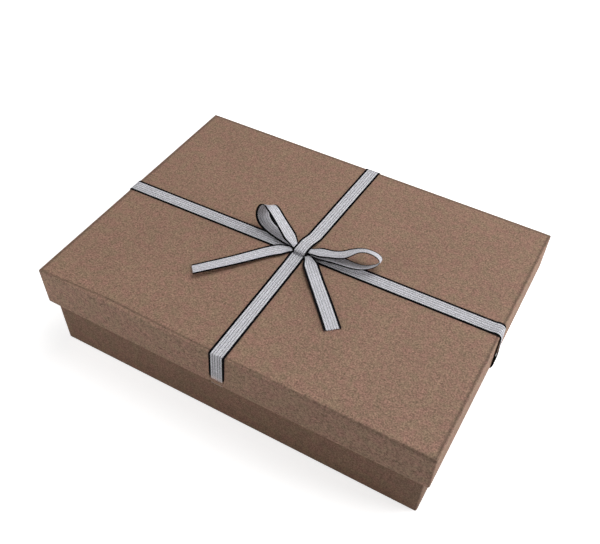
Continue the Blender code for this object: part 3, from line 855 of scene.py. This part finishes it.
def weave(node, line, width_way, half, arch, both_sides=False, slant=0.0):
    length, (line, width_way, half, arch) = even_line(STRIP_STEP, line, width_way, half, arch)
    rows, along, out = strip_points(line, width_way, half, arch, slant)
    guide = guide_strip(node + "_guide", rows, along, out, half)
    common = {"Length": length, "Strip_Width": RIBBON_WIDTH, "Seed": len(runs) * 101 + 5}
    silver = dict(
        Columns=COLUMNS, Column_Step=COLUMN_STEP, Group_Gap=GROUP_GAP, Row_Step=FLOAT_STEP,
        Stitch=FLOAT_SIZE, Lift=TAPE / 2 + FLOAT_SIZE[2] / 4, Finish=silver_yarn, **common,
    )
    layers = [lay_stitches(guide, Side=1.0, **silver)]
    if both_sides:
        layers.append(lay_stitches(guide, Side=-1.0, **silver))
    layers.append(lay_stitches(
        guide, Columns=2, Column_Step=RIBBON_WIDTH - EDGE_WIDTH, Group_Gap=0.0, Row_Step=EDGE_STEP,
        Stitch=EDGE_SIZE, Lift=0.0, Side=1.0, Finish=black_yarn, **common,
    ))
    yarns = joined(node + "_yarns", layers, [silver_yarn] * (len(layers) - 1) + [black_yarn])
    finish = pale_weave if both_sides else ground_weave
    ground = cloth(node + "_weave", rows, out, TAPE, finish)
    bpy.data.objects.remove(guide, do_unlink=True)
    for piece in (yarns, ground):
        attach(piece, "lid")
    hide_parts(node)
    runs[node] = round(length / MM, 1)
    triangles = sum(len(p.vertices) - 2 for p in yarns.data.polygons)
    print(node, "length in mm:", runs[node], "yarn triangles:", triangles)


def joined(name, meshes, finishes):
    """One object from several meshes, each with its own finish."""
    kinds = list(dict.fromkeys(finishes))
    parts = []
    for mesh, finish in zip(meshes, finishes):
        mesh.materials.clear()
        for kind in kinds:
            mesh.materials.append(kind)
        indices = np.full(len(mesh.polygons), kinds.index(finish), dtype=np.int32)
        mesh.polygons.foreach_set("material_index", indices)
        part = bpy.data.objects.new(name, mesh)
        bpy.context.collection.objects.link(part)
        parts.append(part)
    first = parts[0]
    chosen = {"active_object": first, "selected_editable_objects": parts, "selected_objects": parts}
    with bpy.context.temp_override(**chosen):
        bpy.ops.object.join()
    first.name = name
    return first


# %% [markdown]
# ## Ribbon over the lid
#
# Each length starts inside the lid, comes out under the rim, goes up the wall and over the top.
# The one along the lid was tied loosely at the right end, where it stands off the wall. The one
# across is in two halves here: the back half comes over the bow's waist, turns down in front of
# it and tucks under, and the front half starts beneath.

# %% Heights in the knot, and the line over an edge of the lid
ON_LID = LID_TOP + 0.17 * MM
FRONT_OVER = ON_LID + 0.34 * MM
TAIL_LEVEL = FRONT_OVER + 0.38 * MM
TUCK_LEVEL = TAIL_LEVEL + 0.36 * MM
LOWER_STRAND = TUCK_LEVEL + 0.40 * MM
UPPER_STRAND = LOWER_STRAND + 0.50 * MM
BAND_LEVEL = UPPER_STRAND + 0.75 * MM
KNOT = (-0.6 * MM, -0.3 * MM)
WAIST_Y = 0.6 * MM
TURN_IN = 14.0 * MM
OFF = 0.30 * MM


def over_edge(half):
    """From inside the lid to its top: (reach, height) points, about a millimetre apart."""
    inside, outside = half - WALL - OFF, half + OFF
    below = LID_RIM - OFF
    rise = [
        (inside, LID_RIM + TURN_IN), (inside, below), (outside, below), (outside, ON_LID),
        (half - 12 * MM, ON_LID),
    ]
    line = [tuple(p) for p in fold_line(rise, [0.3 * MM, 0.3 * MM, 0.65 * MM], 6)]
    dense = []
    for (x1, z1), (x2, z2) in zip(line, line[1:]):
        pieces = max(int(math.hypot(x2 - x1, z2 - z1) / MM), 1)
        dense += [(x1 + (x2 - x1) * k / pieces, z1 + (z2 - z1) * k / pieces) for k in range(pieces)]
    dense.append(line[-1])
    return dense


def weave_flat(node, line, width_way):
    """A run that lies on the lid at its full width."""
    weave(node, line, width_way, [RIBBON_WIDTH / 2] * len(line), [0.0] * len(line))


# %% The ribbon along the lid
LEFT_Y, RIGHT_Y = -1.6 * MM, 1.8 * MM
left_part = [(-x, z) for x, z in over_edge(LID_HALF[0])]
flat_part = [(x, ON_LID) for x in np.linspace(-LID_HALF[0] + 13 * MM, LID_HALF[0] - 13 * MM, 60)]
# The loose end over the right edge, down the wall and up inside: reach and height in mm
LOOSE_END = [
    (111.0, 60.17), (115.0, 60.3), (118.0, 60.65), (120.2, 59.3), (120.75, 56.0), (121.0, 50.5),
    (121.1, 44.5), (120.95, 39.0), (120.75, 35.2), (120.05, 33.2), (118.9, 32.7), (117.6, 33.6),
    (117.15, 37.0), (117.08, 43.0), (117.08, 48.5),
]
right_part = [(x * MM, z * MM) for x, z in natural_curve(LOOSE_END, 150)]
path = left_part + flat_part + right_part
reach = np.array([x for x, _ in path])
drift = np.interp(reach, [-LID_HALF[0], LID_HALF[0]], [LEFT_Y, RIGHT_Y])
line = [(x, y, z) for (x, z), y in zip(path, drift)]
swing = np.clip((reach - LID_HALF[0] - 0.45 * MM) / (1.25 * MM), 0, 1)
width_way = [(-0.25 * turn, 1.0, 0.0) for turn in swing]
weave_flat("ribbon_long", line, width_way)

# %% The two halves across the lid
def eased(start, end, low, high):
    """A gentle rise or fall from one height to another."""
    share = np.linspace(0, 1, 13)
    return list(zip(start + (end - start) * share, low + (high - low) * share ** 2 * (3 - 2 * share)))


BACK_X, START_X, FRONT_X, HEM_X = 2.1 * MM, -1.4 * MM, -0.9 * MM, -2.5 * MM
WAIST_HALF = 2.65 * MM
curl = (BAND_LEVEL - TUCK_LEVEL) / 2
curl_at = WAIST_HALF + 0.6 * MM - KNOT[1] - WAIST_Y
over_at = -WAIST_HALF - 1.0 * MM - KNOT[1] - WAIST_Y
rise = [(-r, z) for r, z in over_edge(LID_HALF[1])]
flat_part = [(r, ON_LID) for r in np.linspace(-LID_HALF[1] + 13 * MM, over_at - 13 * MM, 40)]
climb = eased(over_at - 12 * MM, over_at, ON_LID, BAND_LEVEL)
band = [(r, BAND_LEVEL) for r in np.linspace(over_at, curl_at, 8)[1:]]
turned = [
    (curl_at + curl * math.sin(a), TUCK_LEVEL + curl + curl * math.cos(a))
    for a in np.linspace(0, math.pi, 13)[1:]
]
path = rise + flat_part + climb + band + turned + [(curl_at - 5.5 * MM, TUCK_LEVEL)]
reach = np.array([r for r, _ in path])
drift = np.interp(reach, [-LID_HALF[1], -KNOT[1]], [BACK_X, KNOT[0]])
near_waist = np.clip(1 - np.abs(reach - curl_at + 3 * MM) / (7 * MM), 0, 1) ** 0.7
line = [(x, -r, z) for (r, z), x in zip(path, drift)]
half = RIBBON_WIDTH / 2 - 0.35 * MM * near_waist
weave("ribbon_cross_back", line, [(1.0, 0.0, 0.0)] * len(line), half, 0.5 * MM * near_waist)

rise = over_edge(LID_HALF[1])[::-1]
start = -min(5.5 * MM - curl_at, 6 * MM)
off_long = RIBBON_WIDTH / 2 + 2.0 * MM
flat_part = [(r, ON_LID) for r in np.linspace(off_long + 5 * MM, LID_HALF[1] - 13 * MM, 50)]
path = [(start, FRONT_OVER)] + eased(off_long, off_long + 4 * MM, FRONT_OVER, ON_LID) + flat_part + rise
run = run_along(path)
top_run = LID_HALF[1] - start
drift = np.interp(run, [0.0, top_run, top_run + LID_TOP - LID_RIM], [START_X, FRONT_X, HEM_X])
line = [(x, -r, z) for (r, z), x in zip(path, drift)]
weave_flat("ribbon_cross_front", line, [(1.0, 0.0, 0.0)] * len(line))

# %% [markdown]
# ## The bow
#
# The bow is one tied strip. Two loops stand up from the knot and two ends lie out to the front.
# Cloth simulation would settle into some bow, but not into this one, so each run follows a
# smooth curve through a few listed points, in millimetres from the knot with heights above the
# lid. A second list says which way the ribbon's width points: its heading on the lid and its
# lean. Inside the knot all runs are drawn together to half their width.

# %% Curves for loops and tails
PINCH_STARTS, PINCH_REACH, PINCH_ARCH = 4.5 * MM, 8.0 * MM, 0.55 * MM


def from_knot(x, y, z):
    """A place given in mm from the knot, with its height above the lid."""
    return (KNOT[0] + x * MM, KNOT[1] + y * MM, LID_TOP + z * MM)


def pinch(line, both_ends):
    """Half width and arch along a run that is drawn together at the knot."""
    run = run_along(line)
    away = np.minimum(run, run[-1] - run) if both_ends else run
    share = np.clip((away - PINCH_STARTS) / PINCH_REACH, 0, 1)
    share = share ** 2 * (3 - 2 * share)
    half = WAIST_HALF + (RIBBON_WIDTH / 2 - WAIST_HALF) * share
    return half, PINCH_ARCH * (1 - share)


# %% The loops
LEFT_LOOP = [
    (-11.5, 3.2, 1.95), (-22.6, 5.8, 1.85), (-31.05, 8.4, 7.4), (-28.5, 10.4, 14.7),
    (-20.4, 7.8, 11.45), (-11.0, 4.0, 4.95),
]
LEFT_LOOP_WAY = [(90, 0), (84, 3), (74, 8), (48, 8), (50, 22), (79, 13), (89, 0), (90, 0)]
RIGHT_LOOP = [
    (12.6, 1.2, 2.15), (25.0, 2.1, 2.75), (37.6, 3.7, 3.35), (45.4, 8.0, 8.95),
    (35.0, 8.2, 11.35), (24.3, 4.9, 5.85), (12.7, 2.4, 3.35),
]
RIGHT_LOOP_WAY = [(90, 0), (67, 10), (101, 28), (101, 30), (149, 18), (90, 0)]
LOOP_SAMPLES = 120


def weave_loop(node, side, points, ways):
    """A loop that leaves the knot on its lower strand and comes back on the upper one."""
    waist = [(KNOT[0] + side * r * MM, KNOT[1] + WAIST_Y) for r in (0.2, 2.6, 5.2)]
    leaving = [(x, y, LOWER_STRAND) for x, y in waist]
    coming = [(x, y, UPPER_STRAND) for x, y in waist][::-1]
    free = natural_curve([leaving[-1]] + [from_knot(*p) for p in points] + [coming[0]], LOOP_SAMPLES)
    line = np.vstack((leaving[:-1], free, coming[1:]))
    heading, lean = np.radians(natural_curve(ways, LOOP_SAMPLES)).T
    level = np.cos(lean)
    way = np.stack((np.cos(heading) * level, np.sin(heading) * level, -np.sin(lean)), axis=1)
    straight = np.tile((0.0, 1.0, 0.0), (2, 1))
    way = np.vstack((straight, way, straight))
    half, arch = pinch(line, True)
    weave(node, line, way, half, arch * -side, both_sides=True)


weave_loop("bow_left_loop", -1, LEFT_LOOP, LEFT_LOOP_WAY)
weave_loop("bow_right_loop", 1, RIGHT_LOOP, RIGHT_LOOP_WAY)

# %% The tails
LEFT_TAIL = [(-14.2, -8.2, 1.05), (-24.2, -20.5, 1.35), (-34.3, -33.0, 1.75), (-44.4, -45.5, 2.55)]
RIGHT_TAIL = [(13.5, -11.9, 1.35), (23.5, -22.4, 0.95), (33.5, -33.0, 0.85), (42.7, -43.0, 0.75)]
TAIL_SAMPLES = 80


def weave_tail(node, side, band_y, points, leans, slant):
    """A loose end from the knot outward. slant is how far its cut is off square."""
    start = (KNOT[0] + side * 2.0 * MM, KNOT[1] + 0.4 * MM, TAIL_LEVEL)
    edge = (KNOT[0] + side * 5.3 * MM, KNOT[1] + band_y * MM, TAIL_LEVEL)
    line = natural_curve([start, edge] + [from_knot(*p) for p in points], TAIL_SAMPLES)
    along = np.gradient(line, axis=0)
    level = unit(np.stack((-along[:, 1], along[:, 0], np.zeros(TAIL_SAMPLES)), axis=1))
    lean = np.radians(natural_curve([(a,) for a in leans], TAIL_SAMPLES))
    way = level * np.cos(lean) + np.array((0.0, 0.0, 1.0)) * np.sin(lean)
    half, arch = pinch(line, False)
    weave(node, line, way, half, arch * 0.4, both_sides=True, slant=slant)


weave_tail("bow_left_tail", -1, -1.2, LEFT_TAIL, [0, 0, 3, 7, 10, 12], 0.8 * MM)
weave_tail("bow_right_tail", 1, -2.6, RIGHT_TAIL, [0, 0, -7, -4, 0, 0], 0.0)
print("runs in mm:", runs)
